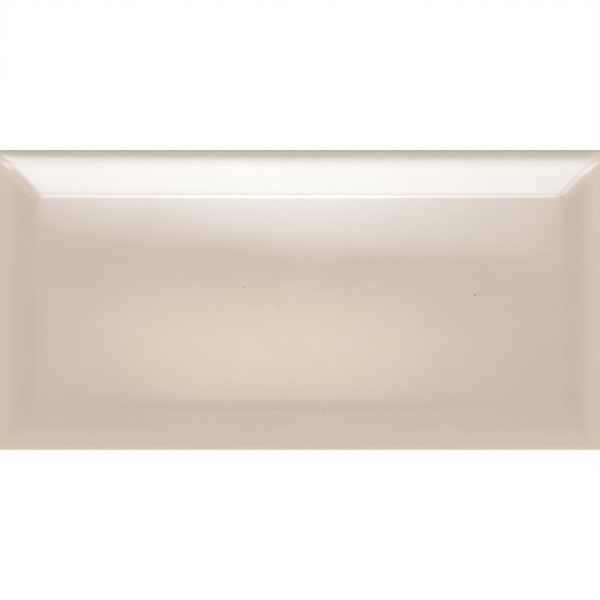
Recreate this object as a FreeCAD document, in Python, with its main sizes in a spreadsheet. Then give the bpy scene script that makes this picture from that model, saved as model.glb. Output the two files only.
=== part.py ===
"""Bevelled subway wall tile: one pressed, glazed and fired ceramic piece.

The tile lies on its back. The origin is at the middle of the back, X runs along the long side,
Y along the short side, and Z points up out of the glazed face.
"""
import FreeCAD, Part
import enum
import math
import os
import Sketcher

# Driving dimensions: lengths in millimetres, the draft in degrees.
DIMENSIONS = [
    # The outline, and the full thickness at the raised field.
    ("tile_length", 149.2),
    ("tile_width", 73.0),
    ("tile_thickness", 8.0),
    ("corner_radius", 2.0),
    # The sloping border: its width in plan, and its fall from the field to the rim.
    ("bevel_width", 10.7),
    ("bevel_drop", 2.8),
    # The soft edges of the face: between two slopes, round the field, and round the rim.
    ("mitre_radius", 6.5),
    ("arris_radius", 8.5),
    ("rim_radius", 1.9),
    # The back: its chamfered edge, a plain border, and the recessed keys that grip the adhesive.
    ("back_chamfer", 0.6),
    ("back_border", 6.0),
    ("key_columns", 9),
    ("key_rows", 4),
    ("key_rib", 2.5),
    ("key_depth", 0.7),
    ("key_draft", 40.0),
    ("key_corner_radius", 1.5),
]

# The arris bends round the mitres and the rim round the outline's corners, and a rounding that
# is too wide for its bend closes up, so each is limited by the radius of what it bends round.
ARRIS_RADIUS = "min(sizes.arris_radius; 1.7 * sizes.mitre_radius)"
RIM_RADIUS = "min(sizes.rim_radius; 0.95 * sizes.corner_radius)"

# One key's length and width: the back inside its border, less the ribs, shared out evenly.
KEY_COLUMNS = "round(sizes.key_columns)"
KEY_ROWS = "round(sizes.key_rows)"
KEY_LENGTH = (
    f"((sizes.tile_length - 2 * sizes.back_border - ({KEY_COLUMNS} - 1) * sizes.key_rib)"
    f" / {KEY_COLUMNS})"
)
KEY_WIDTH = (
    f"((sizes.tile_width - 2 * sizes.back_border - ({KEY_ROWS} - 1) * sizes.key_rib)"
    f" / {KEY_ROWS})"
)

# Two heights closer than this are the same height, in millimetres.
SAME_HEIGHT = 0.001


class Point(enum.IntEnum):
    """The points of a line or an arc that a sketch's constraints can take."""

    START = 1
    END = 2
    CENTRE = 3


class Axis(enum.IntEnum):
    """A sketch's own axes; the level one starts at the sketch's origin."""

    LEVEL = -1
    UPRIGHT = -2


def fill_sheet(document):
    """Put the driving dimensions into a sheet, one named cell for each."""
    sheet = document.addObject("Spreadsheet::Sheet", "sizes")
    for row, (name, value) in enumerate(DIMENSIONS, start=1):
        sheet.set(f"A{row}", name)
        sheet.set(f"B{row}", str(value))
        sheet.setAlias(f"B{row}", name)
    document.recompute()
    return sheet


def origin_feature(body, role):
    """Return the plane or axis of a body's origin that has this role."""
    return next(item for item in body.Origin.OriginFeatures if item.Role == role)


def new_sketch(body, name, plane):
    """Start a sketch on one of the body's origin planes."""
    sketch = body.newObject("Sketcher::SketchObject", name)
    sketch.AttachmentSupport = [(origin_feature(body, plane), "")]
    sketch.MapMode = "FlatFace"
    return sketch


def drive(sketch, label, expression, *constraint):
    """Add a dimension to a sketch and bind it to the sheet."""
    number = sketch.addConstraint(Sketcher.Constraint(*constraint))
    sketch.renameConstraint(number, label)
    sketch.setExpression(f"Constraints.{label}", expression)


def rounded_rectangle(body, name, length, width, radius):
    """Sketch a rectangle with round corners in plan, about the sketch's origin."""
    sketch = new_sketch(body, name, "XY_Plane")

    # A rough square, side by side and corner by corner, that the constraints bring to size.
    reach = 10.0
    rough_radius = 2.0
    flat = reach - rough_radius
    upwards = FreeCAD.Vector(0, 0, 1)
    sides = []
    corners = []
    for quarter in range(4):
        turn = FreeCAD.Rotation(upwards, 90 * quarter)
        start = turn.multVec(FreeCAD.Vector(-flat, -reach, 0))
        end = turn.multVec(FreeCAD.Vector(flat, -reach, 0))
        centre = turn.multVec(FreeCAD.Vector(flat, -flat, 0))
        circle = Part.Circle(centre, upwards, rough_radius)
        angles = (math.radians(90 * (quarter - 1)), math.radians(90 * quarter))
        sides.append(sketch.addGeometry(Part.LineSegment(start, end)))
        corners.append(sketch.addGeometry(Part.ArcOfCircle(circle, *angles)))

    for quarter in range(4):
        side = sides[quarter]
        corner = corners[quarter]
        next_side = sides[(quarter + 1) % 4]
        direction = "Vertical" if quarter % 2 else "Horizontal"
        sketch.addConstraint(Sketcher.Constraint("Tangent", side, Point.END, corner, Point.START))
        sketch.addConstraint(Sketcher.Constraint("Tangent", corner, Point.END, next_side, Point.START))
        sketch.addConstraint(Sketcher.Constraint(direction, side))
    for corner in corners[1:]:
        sketch.addConstraint(Sketcher.Constraint("Equal", corners[0], corner))
    opposite = (corners[0], Point.CENTRE, corners[2], Point.CENTRE)
    sketch.addConstraint(Sketcher.Constraint("Symmetric", *opposite, Axis.LEVEL, Point.START))

    bottom, right, top, left = sides
    drive(sketch, "length", length, "DistanceX", left, Point.START, right, Point.START, 2 * reach)
    drive(sketch, "width", width, "DistanceY", bottom, Point.START, top, Point.START, 2 * reach)
    drive(sketch, "corner", radius, "Radius", corners[0], rough_radius)
    return sketch


def wedge_pair(body, name, plane, half_span):
    """Sketch the triangles that two opposite slopes take off the slab's upper corners."""
    sketch = new_sketch(body, name, plane)

    # Rough triangles, each from the field out to the corner, down the wall and back up the slope.
    rough_span, rough_height = 10.0, 8.0
    rough_run, rough_fall = 4.0, 2.0
    rough = [
        (rough_span - rough_run, rough_height),
        (rough_span, rough_height),
        (rough_span, rough_height - rough_fall),
    ]
    wedges = []
    for side in (1, -1):
        points = [FreeCAD.Vector(side * across, height, 0) for across, height in rough]
        lines = []
        for start, end in zip(points, points[1:] + points[:1]):
            lines.append(sketch.addGeometry(Part.LineSegment(start, end)))
        for line, next_line in zip(lines, lines[1:] + lines[:1]):
            meeting = (line, Point.END, next_line, Point.START)
            sketch.addConstraint(Sketcher.Constraint("Coincident", *meeting))
        wedges.append(lines)
    for line, mirrored in zip(*wedges):
        pair = (line, Point.START, mirrored, Point.START)
        sketch.addConstraint(Sketcher.Constraint("Symmetric", *pair, Axis.UPRIGHT))

    crest, wall, slope = wedges[0]
    sketch.addConstraint(Sketcher.Constraint("Horizontal", crest))
    sketch.addConstraint(Sketcher.Constraint("Vertical", wall))
    to_corner = (Axis.LEVEL, Point.START, wall, Point.START)
    along_crest = (crest, Point.START, wall, Point.START)
    up_wall = (slope, Point.START, wall, Point.START)
    drive(sketch, "half_span", half_span, "DistanceX", *to_corner, rough_span)
    drive(sketch, "height", "sizes.tile_thickness", "DistanceY", *to_corner, rough_height)
    drive(sketch, "run", "sizes.bevel_width", "DistanceX", *along_crest, rough_run)
    drive(sketch, "fall", "sizes.bevel_drop", "DistanceY", *up_wall, rough_fall)
    return sketch


def cut(body, name, sketch):
    """Start a pocket from a sketch, on top of what the body is so far."""
    pocket = body.newObject("PartDesign::Pocket", name)
    pocket.Profile = sketch
    return pocket


def volume_cut(pocket):
    """Rebuild a pocket and return the volume that it took away, which can't be nothing."""
    pocket.Document.recompute()
    taken = pocket.BaseFeature.Shape.Volume - pocket.Shape.Volume
    if taken <= 0:
        raise ValueError(f"{pocket.Name} cut nothing")
    return taken


def edges_where(feature, test):
    """Name the edges of a feature whose lowest and highest points pass a test."""
    boxes = [edge.BoundBox for edge in feature.Shape.Edges]
    return [f"Edge{number}" for number, box in enumerate(boxes, start=1) if test(box.ZMin, box.ZMax)]


def round_edges(body, name, base, test, radius):
    """Round the edges of the base that pass a test."""
    fillet = body.newObject("PartDesign::Fillet", name)
    fillet.Base = (base, edges_where(base, test))
    fillet.setExpression("Radius", radius)
    body.Document.recompute()
    return fillet


def press_face(body, sheet):
    """Build the tile with a plain back: upright walls, four slopes and the raised field."""
    document = body.Document
    outline = rounded_rectangle(
        body, "outline", "sizes.tile_length", "sizes.tile_width", "sizes.corner_radius"
    )
    document.recompute()
    slab = body.newObject("PartDesign::Pad", "slab")
    slab.Profile = outline
    slab.setExpression("Length", "sizes.tile_thickness")
    document.recompute()

    # The slopes along the sides, then those at the ends; they meet in mitres at the corners.
    for name, plane, half_span in (
        ("side", "YZ_Plane", "sizes.tile_width / 2"),
        ("end", "XZ_Plane", "sizes.tile_length / 2"),
    ):
        wedges = wedge_pair(body, f"{name}_wedges", plane, half_span)
        document.recompute()
        slopes = cut(body, f"{name}_slopes", wedges)
        slopes.SideType = "Symmetric"
        slopes.Type = "ThroughAll"
        volume_cut(slopes)

    field = float(sheet.tile_thickness)
    rim = field - float(sheet.bevel_drop)
    half_way = (field + rim) / 2

    def falls_from_field(lowest, highest):
        return highest > field - SAME_HEIGHT and lowest < half_way

    def runs_round_field(lowest, highest):
        return lowest > field - SAME_HEIGHT

    def runs_round_rim(lowest, highest):
        return lowest > rim - SAME_HEIGHT and highest < half_way

    def runs_round_back(lowest, highest):
        return highest < SAME_HEIGHT

    soft_mitres = round_edges(body, "mitres", slopes, falls_from_field, "sizes.mitre_radius")
    soft_arris = round_edges(body, "arris", soft_mitres, runs_round_field, ARRIS_RADIUS)
    soft_rim = round_edges(body, "rim", soft_arris, runs_round_rim, RIM_RADIUS)

    back_edge = body.newObject("PartDesign::Chamfer", "back_edge")
    back_edge.Base = (soft_rim, edges_where(soft_rim, runs_round_back))
    back_edge.setExpression("Size", "sizes.back_chamfer")
    document.recompute()


def press_keys(body):
    """Recess the back with rows and columns of shallow keys, and leave the ribs between them."""
    document = body.Document
    plain_volume = body.Tip.Shape.Volume

    # The first key, in one corner of the back; its walls lean inwards, to leave the die.
    outline = rounded_rectangle(
        body, "key_outline", KEY_LENGTH, KEY_WIDTH, "sizes.key_corner_radius"
    )
    first_x = f"sizes.back_border + {KEY_LENGTH} / 2 - sizes.tile_length / 2"
    first_y = f"sizes.back_border + {KEY_WIDTH} / 2 - sizes.tile_width / 2"
    outline.setExpression("AttachmentOffset.Base.x", first_x)
    outline.setExpression("AttachmentOffset.Base.y", first_y)
    document.recompute()
    key = cut(body, "key", outline)
    key.Reversed = True
    key.setExpression("Length", "sizes.key_depth")
    key.setExpression("TaperAngle", "-sizes.key_draft")
    key_volume = volume_cut(key)

    keys = body.newObject("PartDesign::LinearPattern", "keys")
    keys.Originals = [key]
    keys.Direction = (origin_feature(body, "X_Axis"), [""])
    keys.setExpression("Occurrences", KEY_COLUMNS)
    keys.setExpression("Length", f"({KEY_COLUMNS} - 1) * ({KEY_LENGTH} + sizes.key_rib)")
    keys.Direction2 = (origin_feature(body, "Y_Axis"), [""])
    keys.setExpression("Occurrences2", KEY_ROWS)
    keys.setExpression("Length2", f"({KEY_ROWS} - 1) * ({KEY_WIDTH} + sizes.key_rib)")
    body.Tip = keys
    document.recompute()

    taken = plain_volume - keys.Shape.Volume
    expected = key_volume * keys.Occurrences * keys.Occurrences2
    if not math.isclose(taken, expected, rel_tol=0.001):
        raise ValueError(f"the keys took {taken:.1f} cubic millimetres, not {expected:.1f}")


document = FreeCAD.newDocument("subway_tile")
sheet = fill_sheet(document)
tile = document.addObject("PartDesign::Body", "bevelled_tile")
tile.Label = "bevelled_tile"
tile.Placement = FreeCAD.Placement()
press_face(tile, sheet)
press_keys(tile)

for item in document.Objects:
    if "Invalid" in item.State or "Error" in item.State:
        raise ValueError(f"{item.Name} failed: {item.State}")
if tile.Shape.isNull() or not tile.Shape.isValid() or len(tile.Shape.Solids) != 1:
    raise ValueError("the tile is not one valid solid")

os.makedirs("parts", exist_ok=True)
tile.Shape.exportStep(f"parts/{tile.Label}.step")
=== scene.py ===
# A bevelled wall tile with a beige gloss glaze, lying face up on a white table under soft lamps.
import math

import bmesh
import bpy
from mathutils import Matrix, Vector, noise


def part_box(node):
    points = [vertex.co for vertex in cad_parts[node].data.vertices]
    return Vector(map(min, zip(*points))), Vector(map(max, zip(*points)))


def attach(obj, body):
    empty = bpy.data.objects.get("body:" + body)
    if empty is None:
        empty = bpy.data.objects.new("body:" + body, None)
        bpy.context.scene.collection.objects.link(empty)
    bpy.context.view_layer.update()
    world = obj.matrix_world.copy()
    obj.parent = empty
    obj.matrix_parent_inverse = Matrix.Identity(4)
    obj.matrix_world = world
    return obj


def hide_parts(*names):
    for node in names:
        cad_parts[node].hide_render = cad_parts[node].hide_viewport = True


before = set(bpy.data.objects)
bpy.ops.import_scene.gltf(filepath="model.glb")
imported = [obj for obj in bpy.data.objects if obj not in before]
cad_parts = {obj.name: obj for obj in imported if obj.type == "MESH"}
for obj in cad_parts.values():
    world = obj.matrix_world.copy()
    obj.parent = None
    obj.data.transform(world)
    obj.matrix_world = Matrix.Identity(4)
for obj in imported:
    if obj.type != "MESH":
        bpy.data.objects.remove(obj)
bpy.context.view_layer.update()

# The tile: one pressed clay body with a flat raised field, four mitred slopes and a rolled rim.
# The glaze on it melts over every edge, runs part of the way down the walls and leaves the back
# bare, where the press has left rows of shallow keys for the adhesive.
low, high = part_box("bevelled_tile")
half_length = (high.x - low.x) / 2
half_width = (high.y - low.y) / 2
glaze_drift = 0.000012
thickness = high.z - glaze_drift

bevel_width = 0.0105
bevel_slope = math.radians(14.66)
shoulder_band = 0.0021
shoulder_slope = math.radians(33.0)
rim_band = 0.0006
rim_slope = math.radians(56.0)
slope_band = bevel_width - shoulder_band - rim_band
slope_rise = slope_band * math.tan(bevel_slope)
shoulder_rise = shoulder_band * math.tan(shoulder_slope)
rim_rise = rim_band * math.tan(rim_slope)
wall_height = thickness - slope_rise - shoulder_rise - rim_rise

# How far each edge is rounded back, and how many faces a rounding has.
mitre_softness = 0.0020
arris_softness = 0.0007
shoulder_softness = 0.00195
rim_softness = 0.0005
wall_softness = 0.00015
back_chamfer = 0.0006
broad_steps = 8
rim_steps = 6
small_steps = 2
level_normal = 0.999
tiny = 1e-6


def faces_towards(mesh, z_sign):
    """The faces that lie level, looking up or down."""
    return [face for face in mesh.faces if face.normal.z * z_sign > level_normal]


def level_edges(mesh, height):
    """The loop of edges that runs round the tile at one height."""
    return [edge for edge in mesh.edges if all(abs(v.co.z - height) < tiny for v in edge.verts)]


def corner_edges(mesh):
    """The upright corner edges and the mitres above them, which all lie on the corners' diagonals."""
    def inset_difference(v):
        return (half_length - abs(v.co.x)) - (half_width - abs(v.co.y))

    return [
        edge for edge in mesh.edges
        if all(abs(inset_difference(v)) < tiny for v in edge.verts)
        and abs(edge.verts[0].co.z - edge.verts[1].co.z) > tiny
    ]


def soften(mesh, edges, width, steps):
    """Rounds edges over, the way melted glaze does."""
    bmesh.ops.bevel(
        mesh, geom=edges, offset=width, offset_type="OFFSET", affect="EDGES",
        segments=steps, profile=0.5, material=-1, loop_slide=True,
    )


tile = bmesh.new()
bmesh.ops.create_cube(tile, size=1.0)
bmesh.ops.scale(tile, vec=(2 * half_length, 2 * half_width, wall_height), verts=tile.verts)
bmesh.ops.translate(tile, vec=(0.0, 0.0, wall_height / 2), verts=tile.verts)
tile.normal_update()

field = faces_towards(tile, 1)
for band, rise in ((rim_band, rim_rise), (shoulder_band, shoulder_rise), (slope_band, slope_rise)):
    bmesh.ops.inset_region(tile, faces=field, thickness=band, depth=rise, use_even_offset=True)
soften(tile, corner_edges(tile), mitre_softness, broad_steps)
soften(tile, level_edges(tile, thickness), arris_softness, broad_steps)
soften(tile, level_edges(tile, thickness - slope_rise), shoulder_softness, broad_steps)
soften(tile, level_edges(tile, wall_height + rim_rise), rim_softness, rim_steps)
soften(tile, level_edges(tile, wall_height), wall_softness, small_steps)
soften(tile, level_edges(tile, 0.0), back_chamfer, small_steps)
tile.normal_update()

# Keys in the back: each cell of a grid is inset by half a rib, its corners are rounded, and its
# floor is pushed in with the draft that lets the pressed clay leave the die.
key_columns = 9
key_rows = 4
key_border = 0.0060
key_rib = 0.0025
key_depth = 0.0007
key_draft_angle = math.radians(40.0)
key_draft = math.tan(key_draft_angle) * key_depth
key_corner = 0.0015
key_corner_steps = 4
grid_half_length = half_length - key_border + key_rib / 2
grid_half_width = half_width - key_border + key_rib / 2
pitch_x = 2 * grid_half_length / key_columns
pitch_y = 2 * grid_half_width / key_rows
centre_slack = 0.01
least_cell_share = 0.5
least_key_share = 0.4


def cut_across(mesh, faces, point, normal):
    """Cuts a straight line of edges across some of the faces."""
    edges = dict.fromkeys(edge for face in faces for edge in face.edges)
    verts = dict.fromkeys(vert for face in faces for vert in face.verts)
    bmesh.ops.bisect_plane(
        mesh, geom=[*verts, *edges, *faces], dist=tiny, plane_co=point, plane_no=normal
    )


def key_cells(mesh, least_share):
    """The level faces of the back that are centred on a cell of the grid and fill enough of it."""
    found = []
    for face in faces_towards(mesh, -1):
        centre = face.calc_center_bounds()
        column = (centre.x + grid_half_length) / pitch_x - 0.5
        row = (centre.y + grid_half_width) / pitch_y - 0.5
        on_grid = 0 <= round(column) < key_columns and 0 <= round(row) < key_rows
        off_centre = max(abs(column - round(column)), abs(row - round(row)))
        large = face.calc_area() > least_share * pitch_x * pitch_y
        if on_grid and off_centre < centre_slack and large:
            found.append(face)
    return found


for column in range(key_columns + 1):
    line_x = column * pitch_x - grid_half_length
    cut_across(tile, faces_towards(tile, -1), (line_x, 0.0, 0.0), (1.0, 0.0, 0.0))
for row in range(key_rows + 1):
    line_y = row * pitch_y - grid_half_width
    cut_across(tile, faces_towards(tile, -1), (0.0, line_y, 0.0), (0.0, 1.0, 0.0))
tile.normal_update()
keys = key_cells(tile, least_cell_share)
bmesh.ops.inset_individual(tile, faces=keys, thickness=key_rib / 2, use_even_offset=True)
key_corners = list(dict.fromkeys(vert for face in keys for vert in face.verts))
bmesh.ops.bevel(
    tile, geom=key_corners, offset=key_corner, offset_type="OFFSET", affect="VERTICES",
    segments=key_corner_steps, profile=0.5, material=-1,
)
tile.normal_update()
keys = key_cells(tile, least_key_share)
bmesh.ops.inset_individual(
    tile, faces=keys, thickness=key_draft, depth=-key_depth, use_even_offset=True
)
tile.normal_update()

# Uneven glaze: the upper faces are cut into small squares, which lets the fired surface drift by
# about a hundredth of a millimetre, as it does between one part of a pressed face and the next.
square = 0.0035
glaze_drift_length = 0.030
least_upward = 0.05
sharp_angle = math.radians(28.0)
columns = round(2 * half_length / square)
rows = round(2 * half_width / square)


def upper_faces(mesh):
    """The field, the slopes and the rim."""
    return [face for face in mesh.faces if face.normal.z > least_upward]


for column in range(1, columns):
    line_x = (2 * column / columns - 1) * half_length
    cut_across(tile, upper_faces(tile), (line_x, 0.0, 0.0), (1.0, 0.0, 0.0))
for row in range(1, rows):
    line_y = (2 * row / rows - 1) * half_width
    cut_across(tile, upper_faces(tile), (0.0, line_y, 0.0), (0.0, 1.0, 0.0))
for vert in tile.verts:
    from_edge = min(half_length - abs(vert.co.x), half_width - abs(vert.co.y))
    share = min(1.0, max(0.0, from_edge / bevel_width))
    if vert.co.z > wall_height and share > 0.0:
        vert.co.z += glaze_drift * share * noise.noise(vert.co / glaze_drift_length)
tile.normal_update()

for face in tile.faces:
    face.smooth = True
for edge in tile.edges:
    edge.smooth = edge.calc_face_angle(0.0) < sharp_angle

# Bevels store the same faces in another order each run, so a fixed order is given along a line that
# is skew to the whole tile.
skew_line = (1.0, 0.618, 0.272)
tile.verts.sort(key=lambda vert: vert.co.dot(skew_line))
tile.faces.sort(key=lambda face: face.calc_center_median().dot(skew_line))

tile_mesh = bpy.data.meshes.new("glazed_tile")
tile.to_mesh(tile_mesh)
tile.free()
glazed_tile = bpy.data.objects.new("glazed_tile", tile_mesh)
bpy.context.scene.collection.objects.link(glazed_tile)


def add_node(tree, kind, settings, sockets):
    """Adds a shader node, sets its options and sets or links its inputs."""
    made = tree.nodes.new(kind)
    for name, value in settings.items():
        setattr(made, name, value)
    for name, value in sockets.items():
        if isinstance(value, bpy.types.NodeSocket):
            tree.links.new(value, made.inputs[name])
        else:
            made.inputs[name].default_value = value
    return made


def figure(tree, operation, *values):
    """One step of arithmetic."""
    return add_node(
        tree, "ShaderNodeMath", {"operation": operation}, dict(enumerate(values))
    ).outputs[0]


def ramp(tree, value, start, end, to_start=0.0, to_end=1.0):
    """A number that changes softly while a value goes from start to end."""
    return add_node(
        tree, "ShaderNodeMapRange", {"interpolation_type": "SMOOTHSTEP"},
        {"Value": value, "From Min": start, "From Max": end, "To Min": to_start, "To Max": to_end},
    ).outputs["Result"]


def blend(tree, share, first, second):
    """A mix of two colours, on the sockets that the mix node keeps for colours."""
    return add_node(
        tree, "ShaderNodeMix", {"data_type": "RGBA"}, {0: share, 6: first, 7: second}
    ).outputs[2]


def own_place(tree):
    """A point's place in the frame of the object that it lies on."""
    return add_node(tree, "ShaderNodeTexCoord", {}, {}).outputs["Object"]


def axes_of(tree, vector):
    """The x, y and z of a place."""
    return add_node(tree, "ShaderNodeSeparateXYZ", {}, {0: vector}).outputs


def measured_from(tree, place, sockets):
    """A place as seen from another middle, at another turn or on another scale."""
    return add_node(
        tree, "ShaderNodeMapping", {"vector_type": "TEXTURE"}, {"Vector": place, **sockets}
    ).outputs[0]


def scatter(tree, place, size, detail, roughness):
    """Random patches of about one size."""
    return add_node(
        tree, "ShaderNodeTexNoise", {},
        {"Vector": place, "Scale": 1.0 / size, "Detail": detail, "Roughness": roughness},
    ).outputs["Fac"]


def glaze_tone(tree, place):
    """The glaze's colour: a little mottled, paler where it thins on the slopes and partly a painted
    sheen there, with a painted highlight on the lower edge, walls painted a little darker as shade,
    and specks.
    """
    field_tone = (0.544, 0.449, 0.360, 1.0)
    deep_tone = (0.529, 0.434, 0.345, 1.0)
    mottle = scatter(tree, place, size=0.016, detail=3.0, roughness=0.55)
    tone = blend(tree, ramp(tree, mottle, start=0.35, end=0.65), deep_tone, field_tone)

    # Paler towards the outer edges of the slopes: partly thin glaze, partly a painted sheen, stronger
    # at the right end and on the lower side.
    thin_and_sheen_tone = (0.682, 0.574, 0.464, 1.0)
    thin_and_sheen_width = 0.0080
    thin_and_sheen_left = 0.70
    thin_and_sheen_right = 1.00
    thin_and_sheen_upper = 0.30
    thin_and_sheen_lower = 0.60
    axes = axes_of(tree, place)
    away = add_node(tree, "ShaderNodeVectorMath", {"operation": "ABSOLUTE"}, {0: place}).outputs[0]
    inset = add_node(
        tree, "ShaderNodeVectorMath", {"operation": "SUBTRACT"},
        {0: (half_length, half_width, thickness), 1: away},
    ).outputs[0]
    inset = axes_of(tree, inset)
    thin_and_sheen_ends = figure(
        tree, "MULTIPLY", ramp(tree, inset[0], thin_and_sheen_width, 0.0),
        ramp(tree, axes[0], -half_length, half_length, thin_and_sheen_left, thin_and_sheen_right),
    )
    thin_and_sheen_sides = figure(
        tree, "MULTIPLY", ramp(tree, inset[1], thin_and_sheen_width, 0.0),
        ramp(tree, axes[1], half_width, -half_width, thin_and_sheen_upper, thin_and_sheen_lower),
    )
    tone = blend(tree, figure(tree, "MAXIMUM", thin_and_sheen_ends, thin_and_sheen_sides), tone, thin_and_sheen_tone)

    # A painted highlight: a pale line along the lower edge only, standing in for light on the rim
    # there.
    painted_highlight_edge_tone = (0.745, 0.626, 0.504, 1.0)
    painted_highlight_start = 0.0014
    painted_highlight_full = 0.0004
    from_lower_edge = figure(tree, "ADD", axes[1], half_width)
    painted_highlight_share = ramp(tree, from_lower_edge, painted_highlight_start, painted_highlight_full)
    tone = blend(tree, painted_highlight_share, tone, painted_highlight_edge_tone)

    # The walls are painted a little darker than the face: painted shade.
    painted_shade_wall_tone = (0.511, 0.430, 0.343, 1.0)
    painted_shade_wall_top = wall_height + 0.0003
    painted_shade_wall_full = wall_height - 0.0012
    tone = blend(tree, ramp(tree, axes[2], painted_shade_wall_full, painted_shade_wall_top), painted_shade_wall_tone, tone)

    # Each speck has its x and y, its half sizes along x and y, and its share of the field's tone.
    specks = (
        (0.0424, 0.0019, 0.00034, 0.00034, 0.40),
        (0.0433, 0.0021, 0.00013, 0.00050, 0.80),
        (-0.0137, 0.0038, 0.00030, 0.00030, 0.60),
        (-0.0523, 0.0011, 0.00015, 0.00050, 0.82),
        (-0.0219, -0.0091, 0.00054, 0.00022, 0.86),
        (-0.0049, -0.0013, 0.00017, 0.00095, 0.88),
        (0.0060, -0.0261, 0.00060, 0.00036, 0.86),
        (0.0174, 0.0169, 0.00017, 0.00050, 0.84),
        (0.0169, 0.0169, 0.00017, 0.00050, 1.12),
        (0.0175, 0.0219, 0.00097, 0.00017, 1.12),
        (-0.0565, 0.0189, 0.00044, 0.00068, 1.10),
        (-0.0562, 0.0163, 0.00020, 0.00097, 1.12),
    )
    speck_core = 0.3
    for speck_x, speck_y, half_x, half_y, share in specks:
        from_speck = measured_from(
            tree, place, {"Location": (speck_x, speck_y, thickness), "Scale": (half_x, half_y, 1.0)}
        )
        from_speck = add_node(
            tree, "ShaderNodeVectorMath", {"operation": "LENGTH"}, {0: from_speck}
        ).outputs["Value"]
        speck_tone = (*(share * part for part in field_tone[:3]), 1.0)
        tone = blend(tree, ramp(tree, from_speck, 1.0, speck_core), tone, speck_tone)
    return tone


def beige_glaze():
    """Gloss glaze on the face and upper walls, bare biscuit clay below it and on the back."""
    made = bpy.data.materials.new("beige_glaze")
    made.use_nodes = True
    tree = made.node_tree
    shader = tree.nodes["Principled BSDF"]
    place = own_place(tree)

    glaze_line = 0.0022
    glaze_line_wander = 0.0012
    glaze_line_blur = 0.0002
    wander = scatter(tree, place, size=0.006, detail=2.0, roughness=0.5)
    height = axes_of(tree, place)[2]
    run = figure(tree, "MULTIPLY_ADD", wander, glaze_line_wander, height)
    glazed = ramp(tree, run, glaze_line, glaze_line + glaze_line_blur)

    clay_tone = (0.620, 0.550, 0.455, 1.0)
    clay_dark = (0.540, 0.470, 0.380, 1.0)
    grit = scatter(tree, place, size=0.0012, detail=4.0, roughness=0.6)
    clay = blend(tree, ramp(tree, grit, start=0.4, end=0.7), clay_tone, clay_dark)
    colour = blend(tree, glazed, clay, glaze_tone(tree, place))
    tree.links.new(colour, shader.inputs["Base Color"])

    clay_roughness = 0.85
    haze = scatter(tree, place, size=0.010, detail=2.0, roughness=0.5)
    glaze_roughness = ramp(tree, haze, start=0.3, end=0.7, to_start=0.04, to_end=0.06)
    roughness = add_node(
        tree, "ShaderNodeMapRange", {},
        {"Value": glazed, "From Min": 0.0, "From Max": 1.0,
         "To Min": clay_roughness, "To Max": glaze_roughness},
    ).outputs["Result"]
    tree.links.new(roughness, shader.inputs["Roughness"])
    glaze_index = 1.72
    shader.inputs["IOR"].default_value = glaze_index

    ripple_share = 0.03
    relief_strength = 0.35
    relief_height = 0.0002
    grain = scatter(tree, place, size=0.0006, detail=3.0, roughness=0.6)
    grain = figure(tree, "MULTIPLY", grain, ramp(tree, glazed, 1.0, 0.0))
    ripple = scatter(tree, place, size=0.0070, detail=1.0, roughness=0.5)
    ripple = figure(tree, "MULTIPLY", ripple, ripple_share)
    relief = figure(tree, "ADD", grain, ripple)
    bumped = add_node(
        tree, "ShaderNodeBump", {},
        {"Strength": relief_strength, "Distance": relief_height, "Height": relief},
    ).outputs["Normal"]
    tree.links.new(bumped, shader.inputs["Normal"])
    return made


tile_mesh.materials.append(beige_glaze())
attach(glazed_tile, "root")
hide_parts("bevelled_tile")

# The table: a broad matt sheet that the tile lies on, white in front of it and greyer beyond it,
# where the grey is painted shade for the tile's upper wall to reflect.
# It is lifted to white where it is seen and keeps a part of the tile's shadow, so the tile rests
# on it in every view.
table_half = 4.0
table_gap = 0.00002


def level_sheet(name, half_size, height):
    """A flat square sheet at one height."""
    mesh = bpy.data.meshes.new(name)
    sheet = bmesh.new()
    bmesh.ops.create_grid(sheet, x_segments=1, y_segments=1, size=half_size)
    sheet.to_mesh(mesh)
    sheet.free()
    made = bpy.data.objects.new(name, mesh)
    made.location.z = height
    bpy.context.scene.collection.objects.link(made)
    return made


table = level_sheet("table", table_half, -table_gap)


def lifted(tree, seen, mirrored):
    """How far white is lifted for the eye, and for what shows in gloss and through glass."""
    rays = add_node(tree, "ShaderNodeLightPath", {}, {}).outputs
    bounced = figure(tree, "MAXIMUM", rays["Is Glossy Ray"], rays["Is Transmission Ray"])
    bounced = figure(tree, "MULTIPLY", bounced, mirrored)
    return figure(tree, "MULTIPLY_ADD", rays["Is Camera Ray"], seen, bounced)


def white_sheet():
    """Matt white, painted grey beyond the tile as shade, lifted to full white where it is seen, with
    some of its shading kept.
    """
    near_white = (0.80, 0.80, 0.80, 1.0)
    # Painted shade: the sheet is grey beyond the tile's upper edge.
    painted_shade_grey = (0.34, 0.335, 0.27, 1.0)
    half_turn = 0.06
    lift_seen = 0.95
    lift_mirrored = 0.10
    lifted_white = 1.03
    made = bpy.data.materials.new("white_sheet")
    made.use_nodes = True
    tree = made.node_tree
    tree.nodes.remove(tree.nodes["Principled BSDF"])
    along = axes_of(tree, own_place(tree))[1]
    sheet_colour = blend(tree, ramp(tree, along, -half_turn, half_turn), near_white, painted_shade_grey)
    matt = add_node(tree, "ShaderNodeBsdfDiffuse", {}, {"Color": sheet_colour}).outputs[0]
    white = add_node(tree, "ShaderNodeEmission", {}, {"Strength": lifted_white}).outputs[0]
    lift = lifted(tree, lift_seen, lift_mirrored)
    mixed = add_node(tree, "ShaderNodeMixShader", {}, {0: lift, 1: matt, 2: white}).outputs[0]
    tree.links.new(mixed, tree.nodes["Material Output"].inputs["Surface"])
    return made


table.data.materials.append(white_sheet())

# The light: a large scrim of thin cloth over the table, lit from behind by a long soft lamp that
# starts over the tile and reaches far beyond its upper edge, and by smaller glows round the lamp.
# A plain room, brighter in front of the tile, fills the shadows.
scrim_height = 0.60
scrim_half = 1.6
scrim = level_sheet("scrim", scrim_half, scrim_height)
scrim.visible_camera = False

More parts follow.
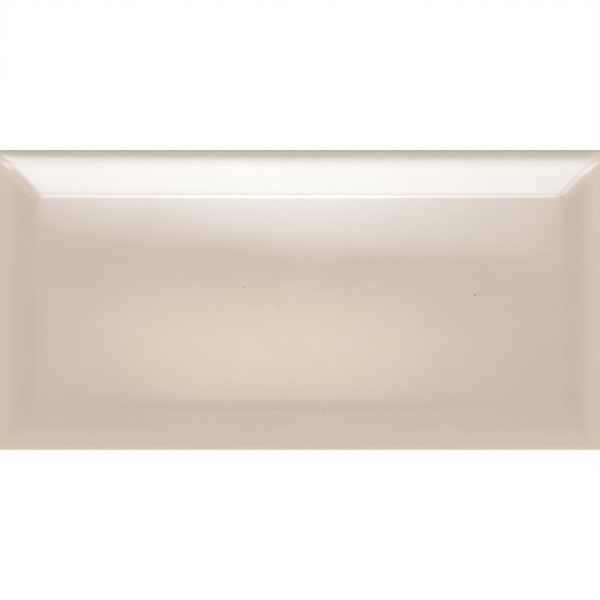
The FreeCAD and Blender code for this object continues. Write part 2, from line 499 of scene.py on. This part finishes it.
# Each step has a start and an end along the lamp, and the change in strength between them. The
# widenings change the lamp's half width in the same way.
lamp_colour = (0.84, 1.00, 1.15, 1.0)
lamp_steps = (
    (-0.045, -0.037, 2.4),
    (-0.040, -0.020, 1.8),
    (-0.010, 0.040, 3.0),
    (0.100, 0.190, -3.1),
    (0.250, 0.285, 1.9),
    (0.340, 0.820, -2.8),
    (0.600, 1.170, -3.2),
)
lamp_half_width = 0.150
lamp_widenings = ((-0.01, 0.26, 0.18), (0.30, 0.80, 0.12))
lamp_middle = -0.010
lamp_turn = math.radians(-4.0)
lamp_bow = 0.32

# Each glow has its middle on the scrim, its half sizes, its strength and its colour.
warm_glow = (0.92, 1.00, 0.74, 1.0)
cool_glow = (0.90, 1.00, 1.10, 1.0)
glows = (
    ((-0.012, -0.079), (0.111, 0.038), 2.35, warm_glow),
    ((0.240, 0.220), (0.110, 0.110), 4.0, cool_glow),
    ((-0.240, 0.880), (0.250, 0.420), 2.2, cool_glow),
    ((-0.355, 0.325), (0.225, 0.195), 3.5, cool_glow),
    ((0.355, 0.315), (0.235, 0.215), 3.4, cool_glow),
    ((-0.620, 0.420), (0.200, 0.160), 2.2, cool_glow),
    ((0.560, 0.250), (0.160, 0.130), 1.4, cool_glow),
    ((-0.300, 0.110), (0.170, 0.150), 0.9, cool_glow),
    ((0.310, 0.100), (0.180, 0.150), 0.9, cool_glow),
    ((-0.010, -0.400), (0.120, 0.220), 0.35, cool_glow),
)


def lit_scrim():
    """Thin cloth that lets the room's light through and glows where the lamps stand behind it."""
    made = bpy.data.materials.new("lit_scrim")
    made.use_nodes = True
    tree = made.node_tree
    tree.nodes.remove(tree.nodes["Principled BSDF"])
    place = own_place(tree)

    def shining(strength, colour):
        return add_node(
            tree, "ShaderNodeEmission", {}, {"Color": colour, "Strength": strength}
        ).outputs[0]

    def both(first, second):
        return add_node(tree, "ShaderNodeAddShader", {}, {0: first, 1: second}).outputs[0]

    def stepped(along, steps):
        total = 0.0
        for start, end, change in steps:
            total = figure(tree, "MULTIPLY_ADD", ramp(tree, along, start, end), change, total)
        return total

    middle = (lamp_middle, 0.0, 0.0)
    straight = measured_from(tree, place, {"Location": middle})
    turned = measured_from(tree, place, {"Location": middle, "Rotation": (0.0, 0.0, lamp_turn)})
    aside = figure(tree, "ABSOLUTE", axes_of(tree, straight)[0])
    bowed = figure(tree, "MULTIPLY", figure(tree, "MULTIPLY", aside, aside), -lamp_bow)
    along = figure(tree, "ADD", axes_of(tree, turned)[1], bowed)
    half_across = figure(tree, "ADD", stepped(along, lamp_widenings), lamp_half_width)
    fading = ramp(tree, figure(tree, "DIVIDE", aside, half_across), 1.0, 0.0)
    lamp = shining(figure(tree, "MULTIPLY", stepped(along, lamp_steps), fading), lamp_colour)
    clear = add_node(tree, "ShaderNodeBsdfTransparent", {}, {}).outputs[0]
    total = both(lamp, clear)
    for centre, half_sizes, strength, colour in glows:
        spot = measured_from(tree, place, {"Location": (*centre, 0.0), "Scale": (*half_sizes, 1.0)})
        spot = add_node(
            tree, "ShaderNodeTexGradient", {"gradient_type": "SPHERICAL"}, {"Vector": spot}
        ).outputs["Fac"]
        spot = figure(tree, "MULTIPLY", ramp(tree, spot, 0.0, 1.0), strength)
        total = both(total, shining(spot, colour))
    tree.links.new(total, tree.nodes["Material Output"].inputs["Surface"])
    return made


scrim.data.materials.append(lit_scrim())

# The room round the table: dim walls and a bright one in front of the tile, all white to the eye.
dim_wall = (0.235, 0.148, 0.072, 1.0)
bright_wall = (1.06, 0.97, 0.89, 1.0)
white_wall = (1.0, 1.0, 1.0, 1.0)
bright_side = (0.0, -1.0, 0.0)
bright_start = -0.2
bright_full = 1.0
wall_lift_seen = 1.0
wall_lift_mirrored = 0.30
room = bpy.data.worlds.new("white_room")
room.use_nodes = True
bpy.context.scene.world = room
room_tree = room.node_tree
towards = add_node(room_tree, "ShaderNodeTexCoord", {}, {}).outputs["Generated"]
towards = add_node(
    room_tree, "ShaderNodeVectorMath", {"operation": "DOT_PRODUCT"}, {0: towards, 1: bright_side}
).outputs["Value"]
brightness = ramp(room_tree, towards, bright_start, bright_full)
fill = room_tree.nodes["Background"]
room_tree.links.new(blend(room_tree, brightness, dim_wall, bright_wall), fill.inputs["Color"])
backdrop = add_node(room_tree, "ShaderNodeBackground", {}, {"Color": white_wall}).outputs[0]
wall_lift = lifted(room_tree, wall_lift_seen, wall_lift_mirrored)
walls = add_node(
    room_tree, "ShaderNodeMixShader", {}, {0: wall_lift, 1: fill.outputs[0], 2: backdrop}
).outputs[0]
room_tree.links.new(walls, room_tree.nodes["World Output"].inputs["Surface"])

# The camera: nearly straight above the tile, leaning towards its upper edge so that the wall there
# just shows, with a long lens. The picture is a little narrower than the tile is long.
camera_distance = 1.20
camera_lean = math.radians(6.0)
picture_width = 0.1460
aim_height = 0.0015
view = bpy.data.cameras.new("camera")
view.sensor_width = 36.0
view.lens = view.sensor_width * camera_distance / picture_width
camera = bpy.data.objects.new("camera", view)
camera.location.y = camera_distance * math.sin(camera_lean)
camera.location.z = camera_distance * math.cos(camera_lean) + aim_height
camera.rotation_euler.x = -camera_lean
bpy.context.scene.collection.objects.link(camera)
bpy.context.scene.camera = camera
bpy.context.scene.view_settings.view_transform = "Standard"
